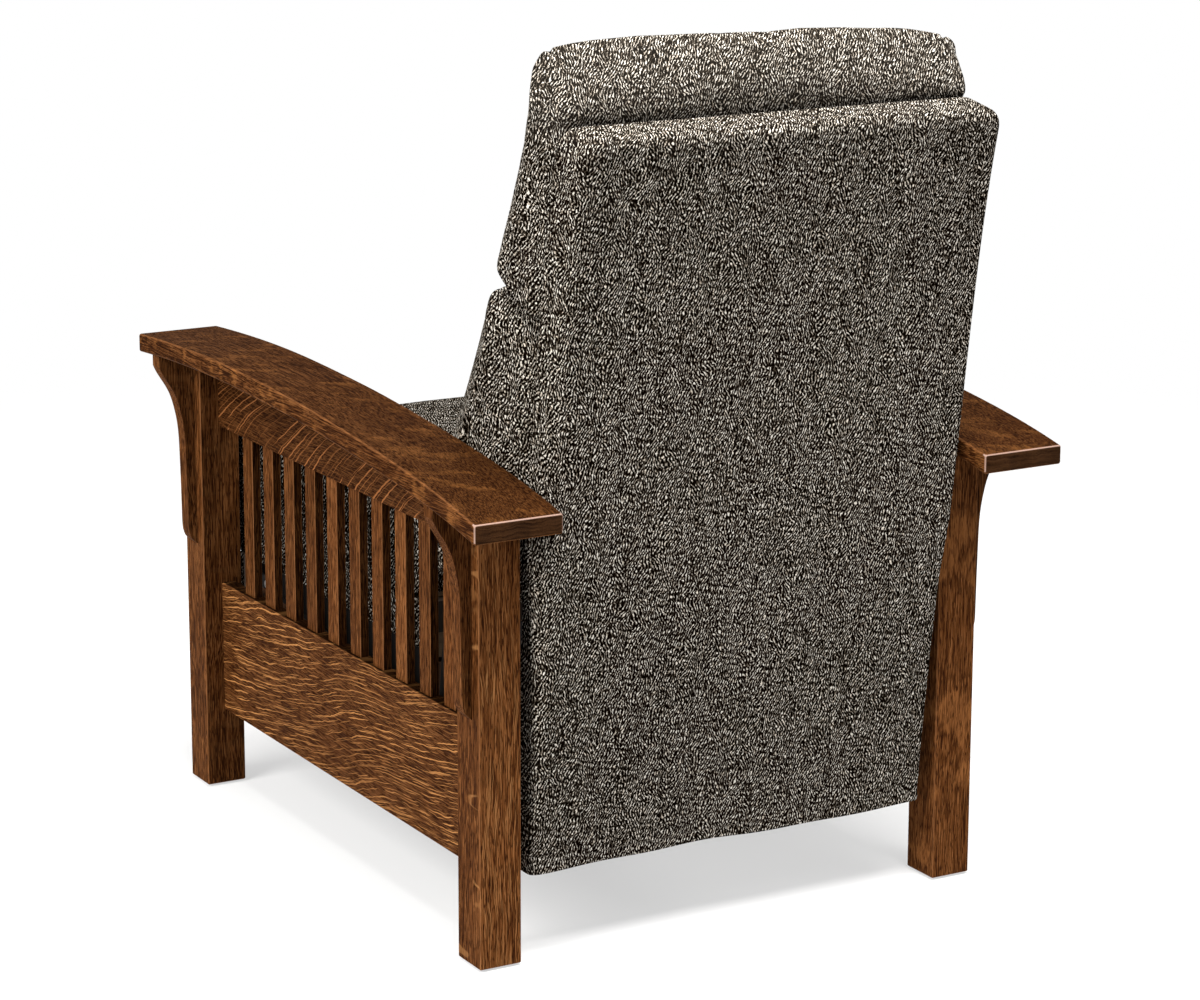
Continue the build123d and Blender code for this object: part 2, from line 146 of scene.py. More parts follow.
# ============================================================ node helpers
class Net:
    def __init__(self, tree):
        self.t = tree

    def new(self, kind, **kw):
        n = self.t.nodes.new(kind)
        for k, v in kw.items():
            setattr(n, k, v)
        return n

    def put(self, sock, v):
        if isinstance(v, bpy.types.NodeSocket):
            self.t.links.new(v, sock)
        elif v is not None:
            if hasattr(sock.default_value, "__len__") and not hasattr(v, "__len__"):
                v = [v] * len(sock.default_value)
            sock.default_value = v

    def math(self, op, a, b=None, c=None, clamp=False):
        n = self.new("ShaderNodeMath", operation=op, use_clamp=clamp)
        for i, v in enumerate((a, b, c)):
            if v is not None:
                self.put(n.inputs[i], v)
        return n.outputs[0]

    def add(self, a, b):
        return self.math("ADD", a, b)

    def sub(self, a, b):
        return self.math("SUBTRACT", a, b)

    def mul(self, a, b):
        return self.math("MULTIPLY", a, b)

    def vmath(self, op, a, b=None, scale=None):
        n = self.new("ShaderNodeVectorMath", operation=op)
        self.put(n.inputs[0], a)
        if b is not None:
            self.put(n.inputs[1], b)
        if scale is not None:
            self.put(n.inputs["Scale"], scale)
        return n.outputs["Value"] if op in ("LENGTH", "DOT_PRODUCT", "DISTANCE") else n.outputs["Vector"]

    def split(self, v):
        n = self.new("ShaderNodeSeparateXYZ")
        self.put(n.inputs[0], v)
        return n.outputs[0], n.outputs[1], n.outputs[2]

    def join(self, x, y, z):
        n = self.new("ShaderNodeCombineXYZ")
        for i, v in enumerate((x, y, z)):
            self.put(n.inputs[i], v)
        return n.outputs[0]

    def noise(self, vec, scale=1.0, detail=2.0, rough=0.5, dist=0.0, color=False):
        n = self.new("ShaderNodeTexNoise")
        self.put(n.inputs["Vector"], vec)
        self.put(n.inputs["Scale"], scale)
        self.put(n.inputs["Detail"], detail)
        self.put(n.inputs["Roughness"], rough)
        self.put(n.inputs["Distortion"], dist)
        return n.outputs["Color"] if color else n.outputs["Fac"]

    def white(self, vec, dim="3D", color=False):
        n = self.new("ShaderNodeTexWhiteNoise", noise_dimensions=dim)
        if dim == "1D":
            self.put(n.inputs["W"], vec)
        else:
            self.put(n.inputs["Vector"], vec)
        return n.outputs["Color"] if color else n.outputs["Value"]

    def span(self, v, a, b, c=0.0, d=1.0, smooth=True):
        n = self.new("ShaderNodeMapRange", interpolation_type="SMOOTHSTEP" if smooth else "LINEAR", clamp=True)
        for i, x in enumerate((v, a, b, c, d)):
            self.put(n.inputs[i], x)
        return n.outputs[0]

    def ramp(self, fac, stops, interp="LINEAR"):
        n = self.new("ShaderNodeValToRGB")
        r = n.color_ramp
        r.interpolation = interp
        while len(r.elements) < len(stops):
            r.elements.new(0.5)
        for e, (p, c) in zip(r.elements, stops):
            e.position = p
            e.color = (*c, 1) if len(c) == 3 else c
        self.put(n.inputs[0], fac)
        return n.outputs[0]

    def mix(self, fac, a, b, blend="MIX"):
        n = self.new("ShaderNodeMix", data_type="RGBA", blend_type=blend)
        self.put(n.inputs[0], fac)
        for i, v in ((6, a), (7, b)):
            if isinstance(v, tuple) and len(v) == 3:
                v = (*v, 1)
            self.put(n.inputs[i], v)
        return n.outputs[2]

    def fmix(self, fac, a, b):
        n = self.new("ShaderNodeMix", data_type="FLOAT")
        self.put(n.inputs[0], fac)
        self.put(n.inputs[2], a)
        self.put(n.inputs[3], b)
        return n.outputs[0]

    def bump(self, height, strength, dist, normal=None):
        n = self.new("ShaderNodeBump")
        self.put(n.inputs["Strength"], strength)
        self.put(n.inputs["Distance"], dist)
        self.put(n.inputs["Height"], height)
        if normal is not None:
            self.put(n.inputs["Normal"], normal)
        return n.outputs[0]


def material(name, color=(0.5, 0.5, 0.5), rough=0.5, metal=0.0, spec=0.5):
    m = bpy.data.materials.new(name)
    m.use_nodes = True
    b = m.node_tree.nodes["Principled BSDF"]
    b.inputs["Base Color"].default_value = (*color, 1)
    b.inputs["Roughness"].default_value = rough
    b.inputs["Metallic"].default_value = metal
    b.inputs["Specular IOR Level"].default_value = spec
    m.diffuse_color = (*color, 1)
    return m, Net(m.node_tree), b


# ============================================================ oak
AX = {"X": 0, "Y": 1, "Z": 2}


def oak(name, grain, cross, seed=0.0, tone=0.16, along=0.0, across=0.0, patches=0.0, rings=1.0, tilt=0.0, arc=0.0,
        edge=0.6, per_slat=False, lines=1.0, stand=0.0, broadly=1.0, faces=(1.0, 1.0, 1.0), figure=0.0,
        ray=(0.36, 0.165, 0.058), tip=None, bar=44.0):
    """Stained quarter-sawn oak.  grain and cross name the object axes along and across the board's face, tone is the
    red of its middle colour.  along, across and patches are how strongly the ray flecks show as lines along the board,
    as arcs across it and as wide bars; edge is how strongly the arrises are lightened, partly by wear and partly as
    painted highlight; stand is where the arcs begin to lean.
    faces is painted shade and light that darkens or lightens the faces along X, Y and Z; figure draws dark contour
    lines on the faces along X;
    ray is the flecks' colour; a painted highlight lightens the arrises beyond tip along the grain; bar is how many bars
    fill a metre."""
    m, g, b = material("oak_" + name, (tone, tone * 0.33, tone * 0.1), 0.5, 0.0, 0.010)
    tc = g.new("ShaderNodeTexCoord")
    o = g.split(tc.outputs["Object"])
    third = ({"X", "Y", "Z"} - {grain, cross}).pop()
    l, w, t = o[AX[grain]], o[AX[cross]], o[AX[third]]
    shade = None
    if per_slat:                                # each slat is cut from another place in the board
        k = g.math("FLOOR", g.math("DIVIDE", g.add(w, 0.3565 + 0.0176), 0.0642))
        r = g.white(g.add(k, seed), "1D")
        l = g.add(l, g.mul(r, 3.7))
        t = g.add(t, g.mul(r, 1.9))
        shade = g.add(0.84, g.mul(g.white(g.add(k, seed + 31.7), "1D"), 0.36))
    l = g.add(l, seed * 1.37)
    t = g.add(t, seed * 0.73)
    p = g.join(l, w, t)
    # slow drift of the grain lines
    drift = g.noise(g.join(g.mul(l, 2.3), g.mul(w, 7.0), g.mul(t, 7.0)), 1.0, 2.0, 0.5)
    wd = g.add(w, g.mul(g.sub(drift, 0.5), 0.035))
    td = g.add(t, g.mul(g.sub(drift, 0.5), 0.030))
    ring = g.noise(g.join(g.mul(l, 1.6), g.mul(wd, 260.0), g.mul(td, 110.0)), 1.0, 3.0, 0.68)
    broad = g.noise(g.join(g.mul(l, 2.0), g.mul(wd, 26.0), g.mul(td, 18.0)), 1.0, 2.0, 0.5)
    streak = g.noise(g.join(g.mul(l, 24.0), g.mul(wd, 940.0), g.mul(td, 940.0)), 1.0, 1.0, 0.6)
    pore = g.noise(g.join(g.mul(l, 80.0), g.mul(wd, 880.0), g.mul(td, 880.0)), 1.0, 1.0, 0.5)
    tone_f = g.add(g.mul(g.sub(ring, 0.5), 0.62 * rings), g.mul(g.sub(broad, 0.5), 0.60 * broadly))
    tone_f = g.add(tone_f, g.mul(g.sub(streak, 0.5), 2.9 * lines))
    tone_f = g.math("ADD", tone_f, 0.5, clamp=True)

    def hue(k, gr, bl):
        return (tone * k, tone * k * gr, tone * k * bl)

    col = g.ramp(tone_f, [(0.08, hue(0.30, 0.30, 0.075)), (0.36, hue(0.80, 0.325, 0.085)), (0.56, hue(1.20, 0.345, 0.095)),
                          (0.78, hue(1.62, 0.37, 0.11)), (0.98, hue(2.1, 0.40, 0.13))])
    pores = g.span(pore, 0.53, 0.63)
    col = g.mix(g.mul(pores, 0.86), col, hue(0.20, 0.30, 0.085))
    hgt = g.add(g.mul(pores, -0.6), g.mul(streak, 0.35))
    fleck = None

    def more(a, c):
        return c if a is None else g.math("MAXIMUM", a, c)

    warp = g.noise(g.join(g.mul(l, 26.0), g.mul(w, 60.0), g.mul(t, 10.0)), 1.0, 2.0, 0.55)
    if along:
        # thin wavy lines that run along the board, broken into lengths, in two sizes
        bend = g.noise(g.join(g.mul(l, 3.2), g.mul(w, 5.0), seed), 1.0, 1.0, 0.5)
        wt = g.add(w, g.mul(l, tilt))
        wt = g.add(wt, g.mul(g.sub(bend, 0.5), 0.060))
        wt = g.add(wt, g.mul(g.sub(warp, 0.5), 0.0085))
        for step, half, amount, lf, s2 in ((132.0, 0.095, 1.0, 19.0, 0.0), (215.0, 0.120, 0.70, 26.0, 40.0)):
            cell = g.mul(g.add(wt, s2 * 0.01), step)
            row = g.math("FLOOR", cell)
            off = g.white(g.add(row, seed + s2), "1D")
            dist = g.math("ABSOLUTE", g.sub(g.math("FRACT", cell), g.add(0.25, g.mul(off, 0.5))))
            thick = g.noise(g.join(g.mul(l, lf), g.mul(row, 3.7), seed + s2), 1.0, 1.0, 0.5)
            wide = g.span(thick, 0.46, 0.66, 0.02, half)
            f = g.sub(1.0, g.span(dist, g.mul(wide, 0.45), g.add(g.mul(wide, 1.1), 0.02)))
            f = g.mul(f, g.span(thick, 0.46, 0.53))
            patch = g.noise(g.join(g.mul(l, 6.0), g.mul(w, 14.0), seed + 3.0 + s2), 1.0, 2.0, 0.5)
            f = g.mul(f, g.span(patch, 0.30, 0.60, 0.25, 1.0))
            fleck = more(fleck, g.mul(f, along * amount))
    if across:
        # thin lines that cross the board and lean as they rise
        up = g.math("MAXIMUM", g.sub(w, stand), 0.0)
        lean = g.add(g.mul(up, tilt), g.mul(g.mul(up, up), arc))
        la = g.sub(l, lean)
        la = g.add(la, g.mul(g.sub(warp, 0.5), 0.009))
        la = g.add(la, g.mul(g.sub(g.noise(g.join(g.mul(l, 5.0), g.mul(w, 9.0), seed), 1.0, 1.0, 0.5), 0.5), 0.028))
        for step, amount, s2 in ((44.0, 1.0, 0.0), (80.0, 0.60, 23.0)):
            cell = g.mul(la, step)
            row = g.math("FLOOR", cell)
            off = g.white(g.add(row, seed + 7.0 + s2), "1D")
            dist = g.math("ABSOLUTE", g.sub(g.math("FRACT", cell), g.add(0.3, g.mul(off, 0.4))))
            thick = g.noise(g.join(g.mul(w, 26.0), g.mul(row, 5.3), seed + s2), 1.0, 1.0, 0.5)
            wide = g.span(thick, 0.38, 0.62, 0.025, 0.085)
            f = g.sub(1.0, g.span(dist, g.mul(wide, 0.5), g.add(wide, 0.02)))
            f = g.mul(f, g.span(thick, 0.36, 0.46))
            f = g.mul(f, g.span(g.white(g.add(row, seed + 19.0 + s2), "1D"), 0.25, 0.6, 0.2, 1.0))
            fleck = more(fleck, g.mul(f, across * amount))
    if patches:
        # wide ray bars across the board, ragged along the grain
        rag = g.noise(g.join(g.mul(l, 22.0), g.mul(w, 300.0), g.mul(t, 300.0)), 1.0, 2.0, 0.6)
        ls = g.add(l, g.mul(w, 0.56))
        q = g.noise(g.join(g.add(g.mul(ls, bar), g.mul(rag, 1.1 * min(1.0, bar / 30.0))), g.mul(w, 17.0), g.mul(t, 12.0)), 1.0, 2.0, 0.5)
        zone = g.noise(g.join(g.mul(l, 5.0), g.mul(w, 9.0), g.mul(t, 9.0)), 1.0, 1.0, 0.5)
        lo, hi = (0.55, 0.66) if bar > 30 else (0.565, 0.610)
        f = g.span(g.add(q, g.mul(g.sub(zone, 0.5), 0.35)), lo, hi)
        f = g.mul(f, g.sub(1.0, g.mul(pores, 0.65)))
        f = g.mul(f, g.span(rag, 0.36, 0.62, 0.45, 1.0))
        fleck = more(fleck, g.mul(f, patches))
    if fleck is not None:
        col = g.mix(fleck, col, ray)
    if shade is not None:
        col = g.mix(1.0, col, g.join(shade, shade, shade), "MULTIPLY")
    nx, ny, nz = g.split(tc.outputs["Normal"])
    if figure:                                  # dark contour lines of plain-sawn growth rings on the outer face
        c0 = g.noise(g.join(g.mul(l, 3.2), g.mul(o[AX["Z" if grain == "Y" else "Y"]], 30.0), seed + 5.0), 1.0, 1.0, 0.5)
        c0 = g.add(c0, g.mul(g.sub(warp, 0.5), 0.03))
        cd = g.math("ABSOLUTE", g.sub(g.math("FRACT", g.mul(c0, 17.0)), 0.5))
        cz = g.noise(g.join(g.mul(l, 4.0), seed, 2.0), 1.0, 1.0, 0.5)
        ink = g.mul(g.span(cd, 0.17, 0.05), g.span(cz, 0.36, 0.56, 0.30, 1.0))
        ink = g.mul(ink, g.span(g.math("ABSOLUTE", nx), 0.6, 0.9))
        col = g.mix(g.mul(ink, figure), col, hue(0.22, 0.29, 0.075))
    # painted shade and light: faces scales the colour of whole faces by the way they point, darker where shade falls on
    # them and lighter where light does
    if faces != (1.0, 1.0, 1.0):
        kk = 1.0
        for c, f in zip((nx, ny, nz), faces):
            if f != 1.0:
                kk = g.mul(kk, g.span(g.math("ABSOLUTE", c), 0.72, 0.92, 1.0, f))
        col = g.mix(1.0, col, g.join(kk, kk, kk), "MULTIPLY")
    # lighter arrises, partly real wear and partly painted highlight: the rounded and chamfered edges face between the
    # main directions
    big = g.math("MAXIMUM", g.math("MAXIMUM", g.math("ABSOLUTE", nx), g.math("ABSOLUTE", ny)), g.math("ABSOLUTE", nz))
    if edge:
        wear_and_highlight_noise = g.noise(p, 34.0, 3.0, 0.6)
        wear_and_highlight = g.mul(g.span(big, 0.98, 0.88), g.span(wear_and_highlight_noise, 0.30, 0.62, 0.45, 1.0))
        col = g.mix(g.mul(wear_and_highlight, edge), col, hue(2.1, 0.42, 0.16))
        # painted highlight: a light pinkish line along the arrises at the rear end of the arm, beyond tip along the
        # grain
        if tip is not None:
            tip_highlight = g.mul(g.mul(g.span(big, 0.97, 0.86), g.span(o[AX[grain]], tip, tip + 0.002)), g.span(nz, -0.30, -0.05))
            col = g.mix(g.mul(tip_highlight, 0.62), col, (0.42, 0.29, 0.24))
    # end grain is darker
    end = g.span(g.math("ABSOLUTE", (nx, ny, nz)[AX[grain]]), 0.80, 0.95)
    eg = g.noise(g.join(g.mul(l, 60.0), g.mul(w, 22.0), g.mul(g.add(t, g.mul(g.sub(warp, 0.5), 0.01)), 420.0)), 1.0, 2.0, 0.6)
    col = g.mix(g.mul(end, 0.9), col, g.ramp(eg, [(0.3, (0.004, 0.002, 0.001)), (0.7, (0.040, 0.018, 0.008))]))
    g.put(b.inputs["Base Color"], col)
    smear = g.noise(p, 9.0, 3.0, 0.55)
    rough = g.add(g.add(0.42, g.mul(smear, 0.16)), g.mul(pores, 0.2))
    if fleck is not None:
        rough = g.sub(rough, g.mul(fleck, 0.06))
    g.put(b.inputs["Roughness"], rough)
    g.put(b.inputs["Normal"], g.bump(hgt, 0.30, 0.0006))
    return m


def paint(node, mat):
    o = nodes[node]
    o.data.materials.clear()
    o.data.materials.append(mat)


# painted shade: faces= darkens the tops of the lower rails and of the arms, the front left post's rear face and the
# rear posts' sides, by the way these faces are lit
paint("lower_side_rail_left", oak("lower_rail_left", "Y", "Z", 1.3, 0.071, along=1.0, tilt=-0.17, rings=0.9, edge=0.4, ray=(0.46, 0.205, 0.066),
                                  faces=(1.0, 1.0, 0.22)))
paint("lower_side_rail_right", oak("lower_rail_right", "Y", "Z", 5.9, 0.071, along=1.0, tilt=-0.12, rings=0.9, edge=0.4, ray=(0.46, 0.205, 0.066),
                                   faces=(1.0, 1.0, 0.22)))
paint("upper_side_rail_left", oak("upper_rail_left", "Y", "Z", 2.1, 0.053, across=0.95, tilt=1.1, arc=7.0, stand=0.507, rings=0.6,
                                  lines=0.8, ray=(0.28, 0.105, 0.034)))
paint("upper_side_rail_right", oak("upper_rail_right", "Y", "Z", 8.4, 0.053, across=0.9, tilt=0.9, arc=6.0, stand=0.507,
                                   rings=0.6, lines=0.8, ray=(0.28, 0.105, 0.034)))
paint("arm_left", oak("arm_left", "Y", "X", 3.7, 0.077, patches=0.42, across=0.0, rings=1.2, broadly=1.2, edge=0.45,
                      faces=(1.0, 1.0, 0.47), figure=0.9, ray=(0.32, 0.125, 0.034), tip=0.460))
paint("arm_right", oak("arm_right", "Y", "X", 9.2, 0.082, patches=0.36, rings=1.2, broadly=1.2, edge=0.45,
                       faces=(1.0, 1.0, 0.58), figure=0.8, ray=(0.32, 0.125, 0.034), tip=0.460))
paint("post_front_left", oak("post_fl", "Z", "Y", 4.1, 0.104, along=0.08, rings=1.5, edge=0.7, faces=(1.0, 0.60, 1.0),
                             figure=0.7))
paint("post_front_right", oak("post_fr", "Z", "Y", 6.6, 0.104, along=0.10, rings=1.5, edge=0.7, figure=0.6))
paint("post_rear_left", oak("post_rl", "Z", "X", 7.3, 0.103, along=0.75, rings=1.4, edge=0.7, faces=(0.92, 0.92, 1.0),
                            figure=0.4))
paint("post_rear_right", oak("post_rr", "Z", "X", 11.8, 0.098, patches=0.60, rings=1.6, edge=0.6, ray=(0.26, 0.100, 0.030),
                             faces=(1.0, 0.94, 1.0), figure=0.5, bar=17.0))
# painted shade and light: the corbels' faces along Y are darkened and those along X lightened
for i, n in enumerate(("corbel_front_left", "corbel_front_right", "corbel_rear_left", "corbel_rear_right")):
    paint(n, oak(n, "Z", "Y", 13.1 + 2.3 * i, 0.086, along=0.08, rings=1.5, edge=0.0, faces=(1.10, 0.70, 1.0)))
# painted shade: the slats' faces along Y are darkened for the shade between them
paint("slats_left", oak("slats_left", "Z", "Y", 17.0, 0.106, rings=1.3, per_slat=True, edge=0.8, faces=(1.0, 0.30, 1.0)))
paint("slats_right", oak("slats_right", "Z", "Y", 23.0, 0.106, rings=1.3, per_slat=True, edge=0.8, faces=(1.0, 0.30, 1.0)))
paint("arm_dowels", oak("dowels", "Z", "X", 29.0, 0.11, edge=0.0))


# ============================================================ hidden wood, steel, plastic
def raw_wood(name, grain, cross, seed, base=(0.52, 0.37, 0.21), ply=False):
    m, g, b = material("wood_" + name, base, 0.72, 0.0, 0.3)
    tc = g.new("ShaderNodeTexCoord")
    o = g.split(tc.outputs["Object"])
    third = ({"X", "Y", "Z"} - {grain, cross}).pop()
    l, w, t = g.add(o[AX[grain]], seed), o[AX[cross]], g.add(o[AX[third]], seed * 0.37)
    wave = g.noise(g.join(g.mul(l, 2.5), g.mul(w, 14.0), g.mul(t, 14.0)), 1.0, 2.0, 0.5)
    ring = g.noise(g.join(g.mul(l, 1.8), g.mul(g.add(w, g.mul(wave, 0.05)), 95.0), g.mul(t, 60.0)), 1.0, 3.0, 0.6)
    fine = g.noise(g.join(g.mul(l, 16.0), g.mul(w, 900.0), g.mul(t, 900.0)), 1.0, 2.0, 0.5)
    f = g.add(g.mul(ring, 0.7), g.mul(fine, 0.3))
    col = g.ramp(f, [(0.3, tuple(c * 0.66 for c in base)), (0.52, base), (0.75, tuple(min(1, c * 1.22) for c in base))])
    if ply:                                    # the plies show on the board's edges
        k = g.math("FRACT", g.mul(t, 1 / 0.003))
        nrm = g.split(tc.outputs["Normal"])
        side = g.span(g.math("ABSOLUTE", nrm[AX[third]]), 0.5, 0.3)
        col = g.mix(g.mul(side, g.mul(g.span(k, 0.45, 0.55), 0.55)), col, tuple(c * 0.45 for c in base))
    g.put(b.inputs["Base Color"], col)
    g.put(b.inputs["Roughness"], g.add(0.62, g.mul(fine, 0.2)))
    g.put(b.inputs["Normal"], g.bump(fine, 0.25, 0.0004))
    return m


for i, (n, gr, cr, ply) in enumerate((("front_stretcher", "X", "Z", False), ("middle_stretcher", "X", "Z", False),
        ("mounting_cleat_left", "Y", "Z", False), ("mounting_cleat_right", "Y", "Z", False),
        ("seat_side_rail_left", "Y", "Z", False), ("seat_side_rail_right", "Y", "Z", False),
        ("seat_cross_rails", "X", "Z", False), ("footrest_board", "X", "Z", True),
        ("back_stile_left", "Z", "Y", True), ("back_stile_right", "Z", "Y", True), ("back_cross_rails", "X", "Z", False))):
    base = (0.075, 0.034, 0.015) if n.startswith("mounting") or n.endswith("stretcher") else (0.16, 0.10, 0.052)
    # painted shade: the seat rails, seen only through the gaps between the slats, are coloured near black for the shade
    # there
    if n.startswith("seat_"):
        base = (0.030, 0.019, 0.011)
    paint(n, raw_wood(n, gr, cr, 1.7 * i + 0.3, base, ply))


def steel(name, color, rough, metal, seed=0.0, coat=0.0, brush=None, wear=0.0):
    m, g, b = material(name, color, rough, metal, 0.5 if metal else 0.15)
    tc = g.new("ShaderNodeTexCoord")
    v = g.vmath("ADD", tc.outputs["Object"], (seed, seed * 0.3, 0))
    n1 = g.noise(v, 38.0, 4.0, 0.6)
    n2 = g.noise(v, 900.0, 2.0, 0.5)
    s = g.vmath("MULTIPLY", v, brush) if brush else v
    n3 = g.noise(s, 1.0 if brush else 260.0, 2.0, 0.5)
    col = g.mix(g.span(n1, 0.35, 0.7), tuple(c * 0.82 for c in color), tuple(min(1, c * 1.15) for c in color))
    if wear:                                   # bare metal where the coat has rubbed off at the edges
        nx, ny, nz = g.split(tc.outputs["Normal"])
        big = g.math("MAXIMUM", g.math("MAXIMUM", g.math("ABSOLUTE", nx), g.math("ABSOLUTE", ny)), g.math("ABSOLUTE", nz))
        rub = g.mul(g.span(big, 0.97, 0.85), g.span(n1, 0.5, 0.66))
        col = g.mix(g.mul(rub, wear), col, (0.25, 0.24, 0.23))
    g.put(b.inputs["Base Color"], col)
    g.put(b.inputs["Roughness"], g.add(g.add(rough - 0.08, g.mul(n1, 0.14)), g.mul(n3, 0.06)))
    g.put(b.inputs["Normal"], g.bump(g.add(g.mul(n2, 0.5), g.mul(n3, 0.5)), 0.12, 0.0002))
    b.inputs["Coat Weight"].default_value = coat
    b.inputs["Coat Roughness"].default_value = 0.25
    return m


black = steel("steel_black", (0.007, 0.0065, 0.006), 0.55, 0.0, 0.4, 0.0, None, 0.5)
zinc = steel("steel_zinc", (0.58, 0.58, 0.56), 0.34, 1.0, 2.2, 0.0, (40.0, 700.0, 700.0))
wire = steel("spring_wire", (0.30, 0.29, 0.28), 0.36, 1.0, 3.1, 0.0, (300.0, 300.0, 60.0))
nylon, gn, bn = material("nylon", (0.05, 0.05, 0.052), 0.5, 0.0, 0.4)
vv = gn.new("ShaderNodeTexCoord").outputs["Object"]
fine = gn.noise(vv, 1400.0, 2.0, 0.5)
gn.put(bn.inputs["Base Color"], gn.mix(gn.noise(vv, 60.0, 3.0, 0.5), (0.04, 0.04, 0.042), (0.065, 0.064, 0.062)))
gn.put(bn.inputs["Roughness"], gn.add(0.42, gn.mul(fine, 0.16)))
gn.put(bn.inputs["Normal"], gn.bump(fine, 0.15, 0.0002))
slot_of = {s["node"]: s["material_slot"] for s in frame["record"]["subparts"]}
for n, s in slot_of.items():
    if s in ("steel_black", "zinc_steel", "spring_wire", "nylon"):
        paint(n, {"steel_black": black, "zinc_steel": zinc, "spring_wire": wire, "nylon": nylon}[s])


# ============================================================ tweed
def tweed(name="tweed", bright=0.72, dim=1.0, side_dim=1.0, top_dim=1.0):
    """Chunky tweed: short steep stitches that lean one way and the other in patches.  Crossing runs of ribs, each strong
    in its own patches and broken up by the yarn's own thick and thin places, make the stitches.  The runs follow one
    slanted direction round the upright faces, coarser in the chair's depth, so they need no unwrapping and turn the
    corners without a seam.  side_dim darkens the faces along X."""
    m, g, b = material(name, (0.10, 0.085, 0.066), 1.0, 0.0, 0.0)
    tc = g.new("ShaderNodeTexCoord")
    o = tc.outputs["Object"]
    jit = g.noise(o, 260.0, 1.0, 0.5, color=True)
    slow = g.noise(o, 28.0, 1.0, 0.5, color=True)
    d = g.vmath("ADD", g.vmath("SCALE", g.vmath("SUBTRACT", jit, (0.5, 0.5, 0.5)), scale=0.0040),
                g.vmath("SCALE", g.vmath("SUBTRACT", slow, (0.5, 0.5, 0.5)), scale=0.012))
    ox, oy, oz = g.split(g.vmath("ADD", o, d))
    pz = g.split(o)[2]
    nx, ny, nz = g.split(tc.outputs["Normal"])
    rag = g.mul(g.sub(g.noise(o, 150.0, 1.0, 0.5), 0.5), 0.20)
    ax, ay, az = (g.math("ABSOLUTE", c) for c in (nx, ny, nz))
    flat = g.math("GREATER_THAN", g.add(az, rag), g.math("MAXIMUM", ax, ay))
    # two opposite corners face along the slanted direction: the ribs run the other way there
    turned = g.math("ABSOLUTE", g.add(g.mul(nx, -0.872), g.mul(ny, 0.489)))
    turned = g.math("GREATER_THAN", g.add(turned, g.mul(rag, 0.2)), 0.945)
    u = g.fmix(turned, g.add(g.mul(ox, -1.0), g.mul(oy, 0.56)), g.add(g.mul(ox, 0.5), g.mul(oy, 0.8)))
    v = g.fmix(flat, oz, g.mul(oy, -0.52))
    face = g.add(turned, g.mul(flat, 2.0))
    total = None
    pick = g.noise(g.join(g.mul(u, 52.0), g.mul(v, 30.0), g.mul(face, 7.3)), 1.0, 1.0, 0.5)
    one, three = g.span(pick, 0.54, 0.47), g.span(pick, 0.56, 0.62)
    two = g.sub(1.0, g.add(one, three))
    for part, (ku, kv, share) in zip((one, two, three), RIBS):
        wave = g.math("SINE", g.mul(g.add(g.mul(u, ku), g.mul(v, kv)), 2 * pi))
        wave = g.mul(wave, g.add(0.16, g.mul(part, share)))
        total = wave if total is None else g.add(total, wave)
    grain = g.noise(g.join(g.mul(u, 500.0), g.mul(g.add(v, g.mul(u, 0.35)), 240.0), face), 1.0, 1.0, 0.5)
    hair = g.noise(g.join(g.mul(u, 1500.0), g.mul(v, 1500.0), face), 1.0, 2.0, 0.6)
    cloud = g.noise(o, 60.0, 2.0, 0.55)
    ends = g.noise(g.join(g.mul(u, 150.0), g.mul(v, 9.0), g.mul(face, 3.1)), 1.0, 2.0, 0.55)
    val = g.add(g.add(0.246, g.mul(total, 0.41)), g.mul(g.sub(grain, 0.5), 2.0))
    val = g.add(val, g.add(g.mul(g.sub(cloud, 0.5), 0.04), g.mul(g.sub(ends, 0.5), 0.26)))
    val = g.add(val, g.mul(g.sub(hair, 0.5), 0.22))
    k = bright
    yarn = g.ramp(val, [(0.12, (0.0014, 0.0006, 0.0002)), (0.31, (0.014 * k, 0.009 * k, 0.005 * k)),
                        (0.48, (0.112 * k, 0.094 * k, 0.073 * k)), (0.65, (0.42 * k, 0.375 * k, 0.318 * k)),
                        (0.81, (0.84 * k, 0.785 * k, 0.695 * k)), (0.97, (0.99 * k, 0.95 * k, 0.87 * k))])
    rb = g.noise(g.join(g.mul(u, 210.0), g.mul(v, 130.0), g.add(face, 41.0)), 1.0, 0.0, 0.5)
    col = g.mix(g.mul(g.span(rb, 0.56, 0.64), 0.28), yarn, g.mix(1.0, yarn, (1.02, 0.86, 0.70), "MULTIPLY"))
    # painted light and shade: lighter and greyer towards the top, darker towards the floor
    kk = g.mul(g.span(pz, 0.12, 0.62, 0.87 * dim, dim), g.span(pz, 0.99, 1.04, 1.0, 1.09))
    col = g.mix(g.span(pz, 0.97, 1.04, 0.0, 0.03), col, (0.285, 0.255, 0.212))
    # painted shade: side_dim darkens the faces along X and top_dim the faces along Z
    if side_dim != 1.0:
        kk = g.mul(kk, g.span(ax, 0.55, 0.85, 1.0, side_dim))
    if top_dim != 1.0:
        kk = g.mul(kk, g.span(az, 0.55, 0.85, 1.0, top_dim))
    col = g.mix(1.0, col, g.join(kk, kk, kk), "MULTIPLY")
    g.put(b.inputs["Base Color"], col)
    h = g.add(g.span(val, 0.15, 0.75), g.mul(hair, 0.15))
    g.put(b.inputs["Normal"], g.bump(h, 0.55, 0.0011))
    return m


# waves per metre along and up the cloth, and strength
RIBS = ((258.0, -156.0, 0.86), (284.0, -40.0, 0.80), (272.0, 120.0, 0.82))
TWEED = tweed()
SHADED_TWEED = tweed("tweed_shaded", 0.62, 1.0, 0.42, 0.76)      # painted shade: a darker copy of the tweed for the cushion sides between the arms, which stand in the shade


